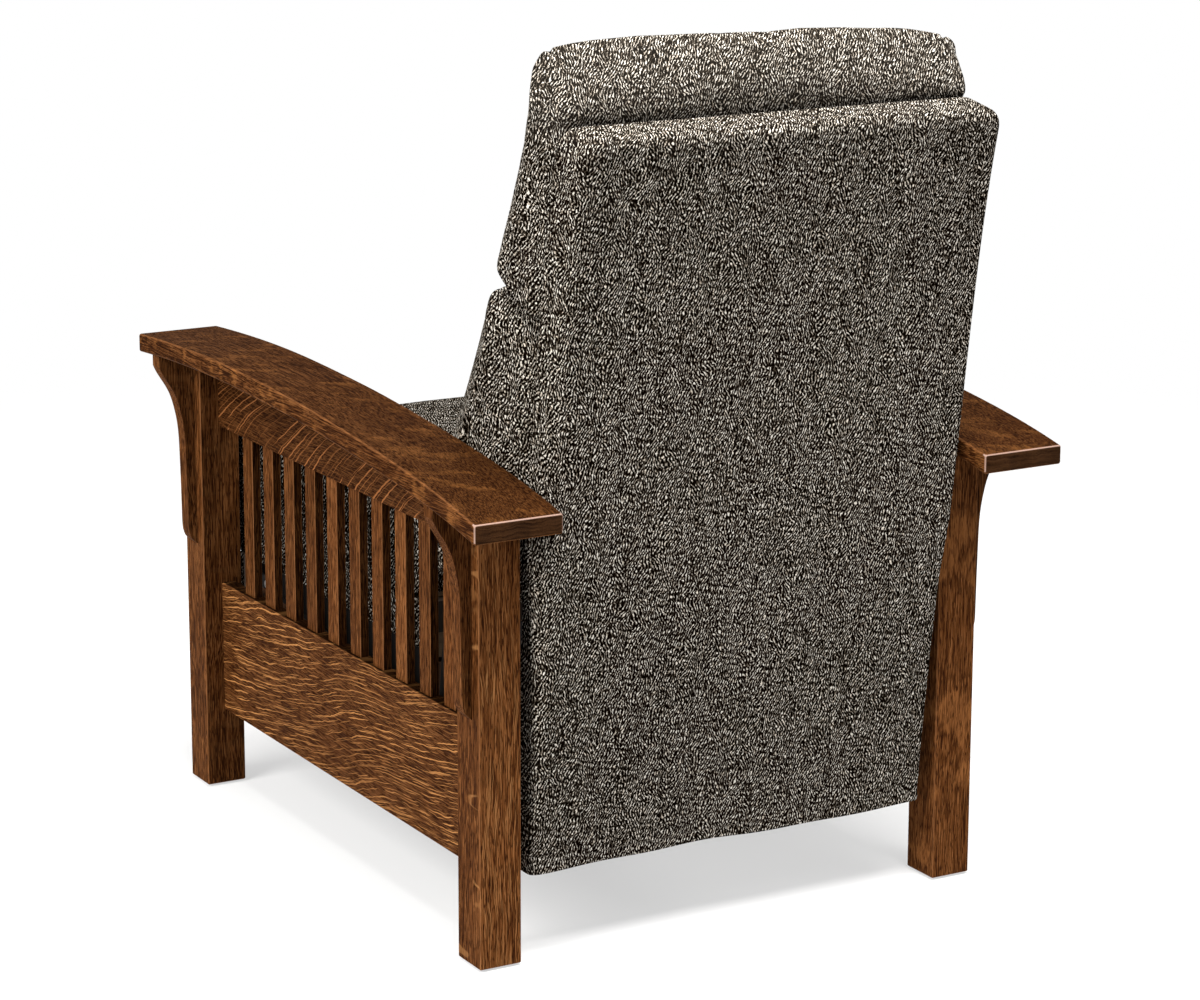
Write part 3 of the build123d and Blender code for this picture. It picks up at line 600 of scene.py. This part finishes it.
def plain_cloth(name, color):
    """Thin black dust cloth."""
    m, g, b = material(name, color, 0.9, 0.0, 0.2)
    o = g.new("ShaderNodeTexCoord").outputs["Object"]
    x, y, z = g.split(o)
    w1 = g.math("SINE", g.mul(g.add(x, g.mul(y, 0.2)), 5200.0))
    w2 = g.math("SINE", g.mul(g.add(y, z), 5200.0))
    wv = g.mul(g.add(w1, w2), 0.5)
    n = g.noise(o, 45.0, 3.0, 0.6)
    g.put(b.inputs["Base Color"], g.mix(n, tuple(c * 0.75 for c in color), tuple(c * 1.3 for c in color)))
    g.put(b.inputs["Normal"], g.bump(wv, 0.3, 0.0003))
    return m


# ============================================================ mesh helpers
def mesh_object(name, verts, faces, mat, smooth=True):
    me = bpy.data.meshes.new(name)
    me.from_pydata([tuple(v) for v in verts], [], faces)
    me.validate()
    me.update()
    if smooth:
        me.polygons.foreach_set("use_smooth", [True] * len(me.polygons))
    me.materials.append(mat)
    o = bpy.data.objects.new(name, me)
    scene.collection.objects.link(o)
    return o


def baked(o, name=None):
    """Applies o's modifiers into its mesh."""
    dg = bpy.context.evaluated_depsgraph_get()
    me = bpy.data.meshes.new_from_object(o.evaluated_get(dg))
    old = o.data
    o.modifiers.clear()
    o.data = me
    me.name = old.name
    bpy.data.meshes.remove(old)
    o.data.polygons.foreach_set("use_smooth", [True] * len(o.data.polygons))
    return o


def coords(o):
    co = np.empty(len(o.data.vertices) * 3)
    o.data.vertices.foreach_get("co", co)
    return co.reshape(-1, 3)


def set_coords(o, co):
    o.data.vertices.foreach_set("co", np.ascontiguousarray(co, np.float32).ravel())
    o.data.update()


def normals(o):
    n = np.empty(len(o.data.vertices) * 3, np.float32)
    o.data.vertices.foreach_get("normal", n)
    return n.reshape(-1, 3).astype(float)


def smooth_step(x, a, b):
    t = np.clip((x - a) / (b - a), 0, 1)
    return t * t * (3 - 2 * t)


def chaikin(pts, n=2):
    """Rounds a closed outline's corners."""
    for _ in range(n):
        out = []
        for i, p in enumerate(pts):
            q = pts[(i + 1) % len(pts)]
            out += [(0.75 * p[0] + 0.25 * q[0], 0.75 * p[1] + 0.25 * q[1]), (0.25 * p[0] + 0.75 * q[0], 0.25 * p[1] + 0.75 * q[1])]
        pts = out
    return pts


def waves(co, seed, size, n=6):
    """Smooth seeded noise from a few sine waves, about -1..1."""
    rng = np.random.default_rng(seed)
    out = np.zeros(len(co))
    for _ in range(n):
        d = rng.normal(size=3)
        d /= np.linalg.norm(d)
        out += np.sin(co @ d * (2 * pi / (size * rng.uniform(0.6, 1.6))) + rng.uniform(0, 2 * pi))
    return out / sqrt(n)


def prism(name, outline, x0, x1, mat, bevel):
    """Closed solid: an outline of (y, z) mm between two x, with its end edges rounded."""
    n = len(outline)
    verts = [(x / 1000, y / 1000 + YS, z / 1000) for x in (x0, x1) for y, z in outline]
    area = sum(outline[i][0] * outline[(i + 1) % n][1] - outline[(i + 1) % n][0] * outline[i][1] for i in range(n))
    faces = [tuple(range(n))[::-1], tuple(range(n, 2 * n))] + [(i, (i + 1) % n, n + (i + 1) % n, n + i) for i in range(n)]
    if area < 0:
        faces = [f[::-1] for f in faces]
    o = mesh_object(name, verts, faces, mat)
    if bevel:
        bm = bmesh.new()
        bm.from_mesh(o.data)
        ends = [e for e in bm.edges if abs(e.verts[0].co.x - e.verts[1].co.x) < 1e-6]
        bmesh.ops.bevel(bm, geom=ends, offset=bevel / 1000, segments=4, profile=0.5, affect="EDGES", clamp_overlap=True)
        bm.to_mesh(o.data)
        bm.free()
    return o


def remesh(o, voxel):
    md = o.modifiers.new("voxel", "REMESH")
    md.mode = "VOXEL"
    md.voxel_size = voxel
    md.use_smooth_shade = True
    baked(o)
    mat = o.data.materials[0] if o.data.materials else None
    return o


def relax(o, k=0.5, times=3):
    md = o.modifiers.new("relax", "SMOOTH")
    md.factor, md.iterations = k, times
    baked(o)


def puff(objs, pressure=4.0, cap=0.012, frames=20):
    """Blows the closed shapes up as cloth, seam vertices held, and keeps each point within cap of its start."""
    rest = {}
    for o, pins in objs:
        rest[o.name] = coords(o)
        vg = o.vertex_groups.new(name="held")
        for i in np.nonzero(pins > 0.01)[0]:
            vg.add([int(i)], float(min(1.0, pins[i])), "REPLACE")
        md = o.modifiers.new("cloth", "CLOTH")
        s = md.settings
        s.quality = 5
        s.mass = 0.35
        s.tension_stiffness = s.compression_stiffness = 12
        s.shear_stiffness = 6
        s.bending_stiffness = 2.0
        s.use_pressure = True
        s.uniform_pressure_force = pressure
        s.vertex_group_mass = "held"
        s.pin_stiffness = 1.0
        s.effector_weights.gravity = 0.0
        md.collision_settings.use_collision = False
        md.collision_settings.use_self_collision = False
        md.point_cache.frame_start, md.point_cache.frame_end = 1, frames + 5
    for f in range(1, frames + 1):
        scene.frame_set(f)
    dg = bpy.context.evaluated_depsgraph_get()
    got = {}
    for o, _ in objs:
        e = o.evaluated_get(dg)
        me = e.to_mesh()
        co = np.empty(len(me.vertices) * 3)
        me.vertices.foreach_get("co", co)
        got[o.name] = co.reshape(-1, 3)
        e.to_mesh_clear()
    scene.frame_set(1)
    for o, _ in objs:
        o.modifiers.clear()
        o.vertex_groups.clear()
        d = got[o.name] - rest[o.name]
        ln = np.linalg.norm(d, axis=1)
        lim = cap * np.tanh(ln / cap)
        d *= (lim / np.maximum(ln, 1e-9))[:, None]
        set_coords(o, rest[o.name] + d)


def finer(o, levels=1):
    md = o.modifiers.new("sub", "SUBSURF")
    md.levels = md.render_levels = levels
    baked(o)


def groove(o, dist, depth, half):
    """Presses a seam into the surface: dist is each vertex's distance from the seam line, in metres."""
    n = normals(o)
    k = np.exp(-(dist / half) ** 2)
    set_coords(o, coords(o) - n * (k * depth)[:, None])


# ============================================================ profiles, mm, from the middle of the posts
BACK_REAR = [(416.0, 107.0), (427.0, 188.0), (446.0, 342.0), (466.0, 470.0), (490.0, 639.0), (512.0, 796.0), (535.0, 929.0),
             (550.0, 985.0)]
_z = np.array([p[1] for p in BACK_REAR])
_y = np.array([p[0] for p in BACK_REAR])
_fit = np.polyfit(_z, _y, 4)


def rear(z):
    """The rear surface's y at height z, as one smooth curve."""
    return np.polyval(_fit, z)


# ============================================================ outside back: one wrapped cloth from the top down to the hem
def outside_back():
    hw, z0, z1, R, r = 281.0, 107.0, 1004.0, 24.0, 14.0
    nx, nz = 92, 150
    xs = np.linspace(-hw, hw, nx + 1)
    zs = np.linspace(z0, z1, nz + 1)

    def squeeze(x, z):
        """Square corner to rounded corner at the top; gives the place, the distance in from the outline and the way in."""
        e = min(hw - abs(x), z1 - z)
        s = 1 if x > 0 else -1
        cx, cz = s * (hw - R), z1 - R
        if abs(x) > hw - R and z > z1 - R:
            vx, vz = x - cx, z - cz
            rho, ln = max(abs(vx), abs(vz)), hypot(vx, vz)
            if ln > 1e-9:
                px, pz = cx + vx * rho / ln, cz + vz * rho / ln
                return px, pz, R - rho, (-vx / ln, -vz / ln)
        return x, z, e, ((-s, 0.0) if hw - abs(x) <= z1 - z else (0.0, -1.0))

    def rounded(e, d, rr):
        ie, id_ = max(e, rr), max(d, rr)
        ve, vd = e - ie, d - id_
        ln = hypot(ve, vd)
        if ln < 1e-9:
            return e, d
        return ie + rr * ve / ln, id_ + rr * vd / ln

    verts, index, par = [], {}, []

    def place(x, z, d, key):
        if key in index:
            return index[key]
        px, pz, e, (ix, iz) = squeeze(x, z)
        rr = r if z > 370 else 9.0 + (r - 9.0) * max(0.0, (z - 107) / 263.0)
        ne, nd = rounded(e, d, rr)
        px, pz = px + ix * (ne - e), pz + iz * (ne - e)
        pz += 0.17 * nd * float(smooth_step(np.array(pz), 900.0, 985.0))      # the top slopes up to the front
        index[key] = len(verts)
        verts.append((px, float(rear(pz)) - nd, pz))
        par.append((x, z, d))
        return index[key]

    faces = []
    for j in range(nz):
        for i in range(nx):
            a = [place(xs[i + di], zs[j + dj], 0.0, ("r", i + di, j + dj)) for di, dj in ((0, 0), (1, 0), (1, 1), (0, 1))]
            faces.append(tuple(reversed(a)))
    # the border goes up the left side, across the top and down the right
    line = [(0, j) for j in range(nz + 1)] + [(i, nz) for i in range(1, nx + 1)] + [(nx, j) for j in range(nz - 1, -1, -1)]

    def depth_at(z):
        full, low = 61.0, 27.0 + 30.0 * max(0.0, (z - 107) / 240.0)
        return low + (full - low) * float(smooth_step(np.array(z), 352.0, 366.0))

    nd = 11
    for (i, j), (i2, j2) in zip(line, line[1:]):
        for k in range(nd):
            q = []
            for (a, b_), kk in (((i, j), k), ((i2, j2), k), ((i2, j2), k + 1), ((i, j), k + 1)):
                if kk == 0:
                    q.append(index[("r", a, b_)])
                else:
                    q.append(place(xs[a], zs[b_], depth_at(zs[b_]) * (kk / nd) ** 1.15, ("b", a, b_, kk)))
            faces.append(tuple(reversed(q)))
    co = np.array(verts)
    par = np.array(par)
    co[:, 1] += YS * 1000
    co /= 1000
    o = mesh_object("outside_back", co, faces, TWEED)
    bm = bmesh.new()
    bm.from_mesh(o.data)
    bmesh.ops.recalc_face_normals(bm, faces=bm.faces)
    bm.to_mesh(o.data)
    bm.free()
    co = coords(o)
    n = normals(o)
    mid = n[np.argmin(np.abs(par[:, 0]) + np.abs(par[:, 1] - 600) + par[:, 2] * 10)]
    if mid[1] < 0:
        o.data.flip_normals()
        n = -n
    # the cloth is pulled over a padded frame: it crowns a little and waves towards the free hem
    x, z, d = par[:, 0], par[:, 1], par[:, 2]
    inner = np.clip((hw - np.abs(x)) / 90.0, 0, 1) * np.clip((z1 - z) / 90.0, 0, 1)
    inner = inner * inner * (3 - 2 * inner) * (d < 1)
    low = smooth_step(z, 420.0, 107.0)
    bulge = 0.0030 * inner * (1 - low)
    bulge += 0.0010 * waves(co, 5, 0.34) * inner
    bulge += 0.0022 * low * waves(co * np.array([1.0, 0.2, 0.35]), 9, 0.20) * np.clip((hw - np.abs(x)) / 40.0, 0.15, 1)
    co = co + n * bulge[:, None]
    # hem: the turned-up edge is thicker, with a shallow sewn groove above it
    wob = 1.2 * np.sin(x / 47.0) + 0.8 * np.sin(x / 19.0 + 1.0)
    hz = z - 107.0
    seam = np.exp(-((hz - 15.5 - 0.4 * wob) / 2.2) ** 2)
    fat = smooth_step(hz, 15.0, 9.0) * (0.6 + 0.4 * smooth_step(hz, 0.0, 3.0))
    co = co + n * (0.0009 * fat - 0.0011 * seam)[:, None]
    co[:, 2] += (0.0012 * np.sin(x / 61.0 + 0.6) + 0.0006 * np.sin(x / 23.0)) * (hz < 60) * (1 - np.clip(hz / 60, 0, 1))
    co[:, 0] *= 1 + 0.0214 * smooth_step(z, 395.0, 500.0)                # wider above the frame
    set_coords(o, co)
    md = o.modifiers.new("thick", "SOLIDIFY")
    md.thickness, md.offset = 0.0026, -1.0
    finer(o, 1)
    return o


def hem_stitches():
    """The thread that shows along the hem, one short raised stitch after another."""
    verts, faces = [], []
    x, step, ln = -264.0, 7.0, 4.6
    while x < 262.0:
        wob = lambda q: 15.5 + 0.4 * (1.2 * sin(q / 47.0) + 0.8 * sin(q / 19.0 + 1.0)) + 1.2 * sin(q / 61.0 + 0.6) + 0.6 * sin(q / 23.0)
        base = len(verts)
        for k in range(7):
            f = k / 6
            q = x + ln * f
            zc = 107.0 + wob(q)
            yc = float(rear(zc)) - 0.75 + 0.95 * sin(pi * f)
            rr = 0.62 * (0.55 + 0.45 * sin(pi * f))
            for s in range(6):
                a = 2 * pi * s / 6
                verts.append((q / 1000, (yc + rr * cos(a)) / 1000 + YS, (zc + rr * sin(a)) / 1000))
        for k in range(6):
            for s in range(6):
                a, b_ = base + k * 6 + s, base + k * 6 + (s + 1) % 6
                faces.append((a, b_, b_ + 6, a + 6))
        faces.append(tuple(base + s for s in range(6))[::-1])
        faces.append(tuple(base + 36 + s for s in range(6)))
        x += step
    m, g, b = material("hem_thread", (0.05, 0.042, 0.034), 0.7, 0.0, 0.3)
    oo = g.new("ShaderNodeTexCoord").outputs["Object"]
    xx, yy, zz = g.split(oo)
    ply = g.math("SINE", g.add(g.mul(xx, 5200.0), g.mul(zz, 3600.0)))
    g.put(b.inputs["Base Color"], g.mix(g.span(ply, -0.6, 0.8), (0.018, 0.014, 0.010), (0.10, 0.086, 0.07)))
    g.put(b.inputs["Normal"], g.bump(ply, 0.5, 0.0002))
    return mesh_object("hem_stitching", verts, faces, m)


back = outside_back()
stitch = hem_stitches()
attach(back, "back")
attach(stitch, "back")
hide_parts("outside_back_cover", "back_flap")

# ============================================================ cushions
HEAD = [(488.0, 1013.0), (495.0, 1024.0), (494.0, 1040.0), (488.0, 1058.0), (479.0, 1077.0), (468.0, 1094.0), (457.0, 1103.0),
        (448.0, 1102.0), (441.0, 1091.0), (434.0, 1071.0), (427.0, 1050.0), (419.0, 1025.0), (408.0, 997.0), (393.0, 960.0),
        (376.0, 921.0), (360.0, 886.0), (346.0, 856.0), (337.0, 836.0), (337.5, 825.0), (349.0, 815.5), (374.0, 806.0),
        (445.0, 777.0), (451.0, 800.0), (459.0, 845.0), (467.0, 900.0), (474.0, 950.0), (480.0, 990.0)]
LUMBAR = [(443.5, 760.0), (437.0, 700.0), (428.0, 640.0), (412.0, 540.0), (400.0, 470.0), (386.0, 424.0),
          (186.0, 419.0), (166.0, 425.0), (155.0, 446.0), (156.0, 492.0), (178.0, 545.0), (208.0, 600.0), (242.0, 659.0),
          (276.0, 722.0), (299.0, 768.0), (307.0, 788.0), (317.0, 802.0), (333.0, 808.5), (352.0, 801.0)]
SEAT = [(130.0, 380.0), (132.0, 430.0), (128.0, 476.0), (112.0, 489.0), (40.0, 493.0), (-80.0, 495.5), (-220.0, 499.0),
        (-340.0, 501.0), (-398.0, 499.5), (-421.0, 488.0), (-432.0, 460.0), (-434.0, 415.0), (-432.5, 380.0), (-424.0, 372.0),
        (-360.0, 371.0), (-100.0, 371.0), (60.0, 371.0)]
PAD = [(-411.0, 117.0), (-424.0, 117.5), (-431.0, 124.0), (-434.0, 150.0), (-435.0, 216.0), (-434.0, 290.0), (-430.0, 311.0),
       (-422.0, 317.5), (-411.0, 318.5)]


def seam_ring(co, x_at):
    """Distance from the two seam rings that run round the cushion near its ends."""
    return np.abs(np.abs(co[:, 0]) - x_at)


head = prism("head_cushion_cover", chaikin(HEAD, 2), -286, 286, TWEED, 12)
lumbar = prism("lower_cushion_cover", chaikin(LUMBAR, 2), -285, 285, TWEED, 13)
seat = prism("seat_cushion_cover", chaikin(SEAT, 2), -286, 286, SHADED_TWEED, 10)
pad = prism("footrest_cover", chaikin(PAD, 1), -277, 277, TWEED, 7)
for o, vx in ((head, 0.0055), (lumbar, 0.0065), (seat, 0.0065), (pad, 0.0045)):
    remesh(o, vx)
    relax(o, 0.5, 4)

# the head cushion's ends swell a little, its rear corners are round and its top falls away to the rear corners
co = coords(head)
yy, zz, ax = (co[:, 1] - YS) * 1000, co[:, 2] * 1000, np.abs(co[:, 0]) * 1000
h_front = np.interp(zz, [823, 836, 856, 886, 921, 960, 997, 1025, 1050, 1071, 1091, 1104],
                    [337, 337, 346, 360, 376, 393, 408, 419, 427, 434, 441, 451])
h_rear = np.interp(zz, [772, 845, 900, 950, 990, 1013, 1024, 1040, 1058, 1077, 1094, 1103],
                   [444, 459, 467, 474, 480, 488, 495, 494, 488, 479, 468, 456])
deep = np.clip((yy - h_front) / np.maximum(h_rear - h_front, 4.0), 0, 1)
co[:, 0] *= 1 + (0.015 + 0.015 * np.exp(-((zz - 1056) / 30) ** 2)) * np.sin(pi * np.clip(deep, 0, 1)) * smooth_step(ax, 150.0, 286.0)
R_ = 38.0
turn = np.clip((ax - (288.0 - R_)) / R_, 0, 1)
give = R_ * (1 - np.sqrt(np.clip(1 - turn ** 2, 0, 1))) * smooth_step(zz, 985.0, 1015.0)
co[:, 1] -= np.minimum(give, 0.72 * np.maximum(h_rear - h_front, 0)) * deep / 1000
xs_ = co[:, 0] * 1000
fall = np.interp(xs_, [-293, -290, -287, -283, -277, -268, -256, -238, -215, -190, -160, -120, -60, 60, 160, 220, 250, 270, 282, 290],
                 [52, 43, 35, 29, 25, 21, 17, 13, 8, 4.5, 2, -2, -6, -8, -7, -4, -1, 3, 8, 15]) / 1000
k_ = np.where(xs_ < 0, 0.8 + 0.2 * smooth_step(yy, 436.0, 462.0), 0.55 + 0.45 * smooth_step(yy, 436.0, 466.0))
co[:, 2] -= np.where(fall > 0, fall * k_, fall) * smooth_step(zz, 985.0, 1090.0)
set_coords(head, co)
# the lower cushion is held in between the arms
co = coords(lumbar)
co[:, 0] *= 1 - 0.014 * (1 - smooth_step(co[:, 2], 0.46, 0.56))
under = co[:, 2] * 1000 + 0.449 * ((co[:, 1] - YS) * 1000 - 337.0) - 808.0      # its top meets the head cushion in the middle
co[:, 2] += 0.010 * (1 - smooth_step(np.abs(co[:, 0]), 0.19, 0.266)) * smooth_step(under, -45.0, -8.0)
set_coords(lumbar, co)


def head_seam(co):
    """Distance from the head cushion's end seams, which run round the rear corners in an arc."""
    y, z, ax = (co[:, 1] - YS) * 1000, co[:, 2] * 1000, np.abs(co[:, 0]) * 1000
    back_x = np.interp(z, [1000, 1042, 1059, 1070, 1082, 1094, 1102], [247, 247, 250, 254, 262, 273, 283])
    k = smooth_step(y, 440.0, 458.0) * smooth_step(z, 985.0, 1005.0)
    slant = 1 / np.sqrt(1 + np.interp(z, [1050, 1075, 1100], [0.0, 0.55, 1.0]) ** 2 * k)
    return np.abs(ax - (271.0 + (back_x - 271.0) * k)) * slant / 1000


jobs = []
for o, x_at in ((head, 0.0), (lumbar, 0.271), (seat, 0.275), (pad, 0.268)):
    co = coords(o)
    pins = np.exp(-((head_seam(co) if o is head else seam_ring(co, x_at)) / 0.004) ** 2)
    if o is seat:
        pins = np.maximum(pins, smooth_step(co[:, 2], 0.382, 0.376))
    if o is pad:
        pins = np.maximum(pins, smooth_step(co[:, 1], YS - 0.416, YS - 0.412))
    if o is lumbar:
        pins = np.maximum(pins, smooth_step(co[:, 1] * 1000 - YS * 1000, rear(co[:, 2] * 1000) - 72, rear(co[:, 2] * 1000) - 66))
    if o is head:
        inside = (co[:, 2] < 1.010)
        pins = np.maximum(pins, inside * smooth_step(co[:, 1] * 1000 - YS * 1000, rear(co[:, 2] * 1000) - 72, rear(co[:, 2] * 1000) - 66))
    jobs.append((o, pins))
puff(jobs, 4.0, 0.009)

for o, x_at in ((head, 0.0), (lumbar, 0.271), (seat, 0.275), (pad, 0.268)):
    relax(o, 0.5, 1)
    finer(o, 1)
    co = coords(o)
    groove(o, head_seam(co) if o is head else seam_ring(co, x_at), 0.0046 if o is head else 0.0022, 0.0030 if o is head else 0.0020)
    if o in (head, lumbar):                     # the two back cushions part in a slit on their sides
        co = coords(o)
        y, z = (co[:, 1] - YS) * 1000, co[:, 2] * 1000
        off = np.abs((y - 337.0) * 0.440 + (z - 820.0) * 0.898) / 1000
        off = off + 0.02 * (1 - smooth_step(np.abs(co[:, 0]), 0.255, 0.268)) + 0.02 * smooth_step(y, 415.0, 440.0)
        groove(o, off, 0.0075, 0.0062)

for o, body, node, fill in ((head, "back", "head_cushion", 0.8), (lumbar, "back", "lower_back_cushion", 0.8),
                            (seat, "seat", "seat_cushion", 0.8), (pad, "footrest", "footrest_pad", 0.6)):
    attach(o, body)
    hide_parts(node)


# ============================================================ cloth band round the seat frame
def seat_band():
    loop = []
    # from the rear left corner round the front to the rear right corner, corners rounded
    def arc(cx, cy, r, a0, a1, n=8):
        return [(cx + r * cos(radians(a0 + (a1 - a0) * k / n)), cy + r * sin(radians(a0 + (a1 - a0) * k / n))) for k in range(n + 1)]
    xo, yf, yr, r = 281.0, -431.0, 146.0, 8.0
    ys = np.linspace(yr, yf + r, 60)
    loop += [(xo, y) for y in ys[:-1]]
    loop += arc(xo - r, yf + r, r, 0, -90)
    loop += [(x, yf) for x in np.linspace(xo - r, -xo + r, 60)[1:-1]]
    loop += arc(-xo + r, yf + r, r, -90, -180)
    loop += [(-xo, y) for y in ys[::-1][1:]]
    rows = np.linspace(0.0, 1.0, 10)
    verts, faces = [], []
    for i, (x, y) in enumerate(loop):
        low = 316.0 + 12.0 * float(smooth_step(np.array(-y), 408.0, 424.0))
        for j, f in enumerate(rows):
            verts.append((x / 1000, y / 1000 + YS, (low + (378.5 - low) * f) / 1000))
    n = len(rows)
    for i in range(len(loop) - 1):
        for j in range(n - 1):
            faces.append((i * n + j, (i + 1) * n + j, (i + 1) * n + j + 1, i * n + j + 1))
    o = mesh_object("seat_border", verts, faces, SHADED_TWEED)
    bm = bmesh.new()
    bm.from_mesh(o.data)
    bmesh.ops.recalc_face_normals(bm, faces=bm.faces)
    bm.to_mesh(o.data)
    bm.free()
    co = coords(o)
    nn = normals(o)
    if (nn[:, 0] * np.sign(co[:, 0]))[np.abs(co[:, 0]) > 0.27].mean() < 0:
        o.data.flip_normals()
        nn = -nn
    puffy = np.sin(np.clip((co[:, 2] * 1000 - 328.0) / 50.5, 0, 1) * pi) * 0.0009
    set_coords(o, co + nn * (puffy + 0.0003 * waves(co, 21, 0.07))[:, None])
    md = o.modifiers.new("thick", "SOLIDIFY")
    md.thickness, md.offset = 0.0016, -1.0
    finer(o, 1)
    return o


band = seat_band()
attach(band, "seat")
